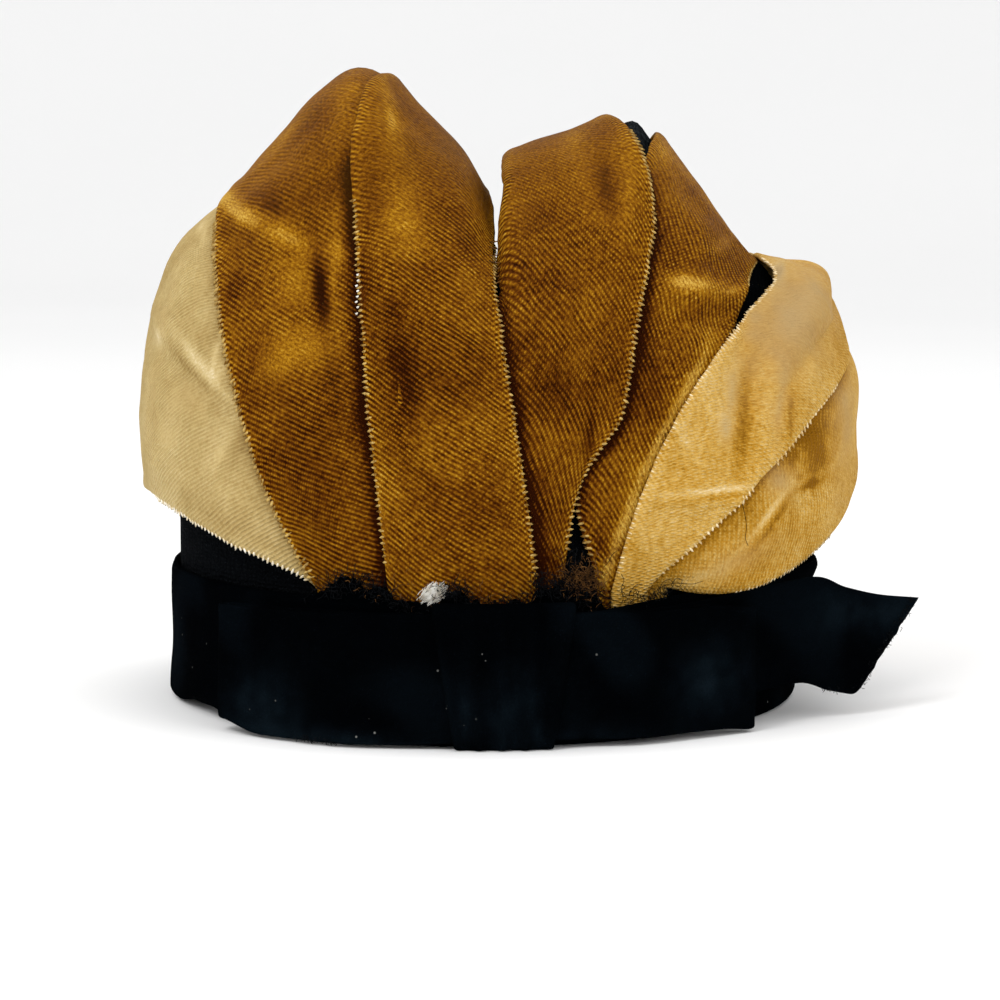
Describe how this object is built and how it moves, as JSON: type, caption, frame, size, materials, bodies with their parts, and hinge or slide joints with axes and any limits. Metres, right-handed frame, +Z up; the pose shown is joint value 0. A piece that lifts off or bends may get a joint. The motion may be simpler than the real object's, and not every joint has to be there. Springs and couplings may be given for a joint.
{
  "type": "cocktail hat",
  "caption": "Small velvet cocktail hat: broad brown and pale petals fan over a black crown, held by a black band with a flat bow and one loose tail in front.",
  "frame": {"origin": "middle of the bounding box in plan, on the surface that the hat rests on", "axes": "+Z up, the bow in front faces -Y, the loose tail points to +X, which is the right in the picture"},
  "size_m": [0.2136, 0.2066, 0.1727],
  "materials": {
    "black_velvet": "short black velvet pile with a faint blue sheen",
    "brown_velvet": "ribbed golden brown velvet, crushed and shiny in places",
    "pale_velvet": "ribbed pale champagne velvet, crushed and shiny in places"
  },
  "bodies": {
    "root": {"crown": "black_velvet", "band": "black_velvet", "petal_left_outer": "pale_velvet", "petal_left": "brown_velvet", "petal_front_left": "brown_velvet", "petal_front_right": "brown_velvet", "petal_right": "brown_velvet", "petal_right_inner": "pale_velvet", "petal_right_outer": "pale_velvet", "bow_left_loop": "black_velvet", "bow_right_loop": "black_velvet", "bow_knot": "black_velvet", "bow_tail": "black_velvet"}
  },
  "joints": []
}
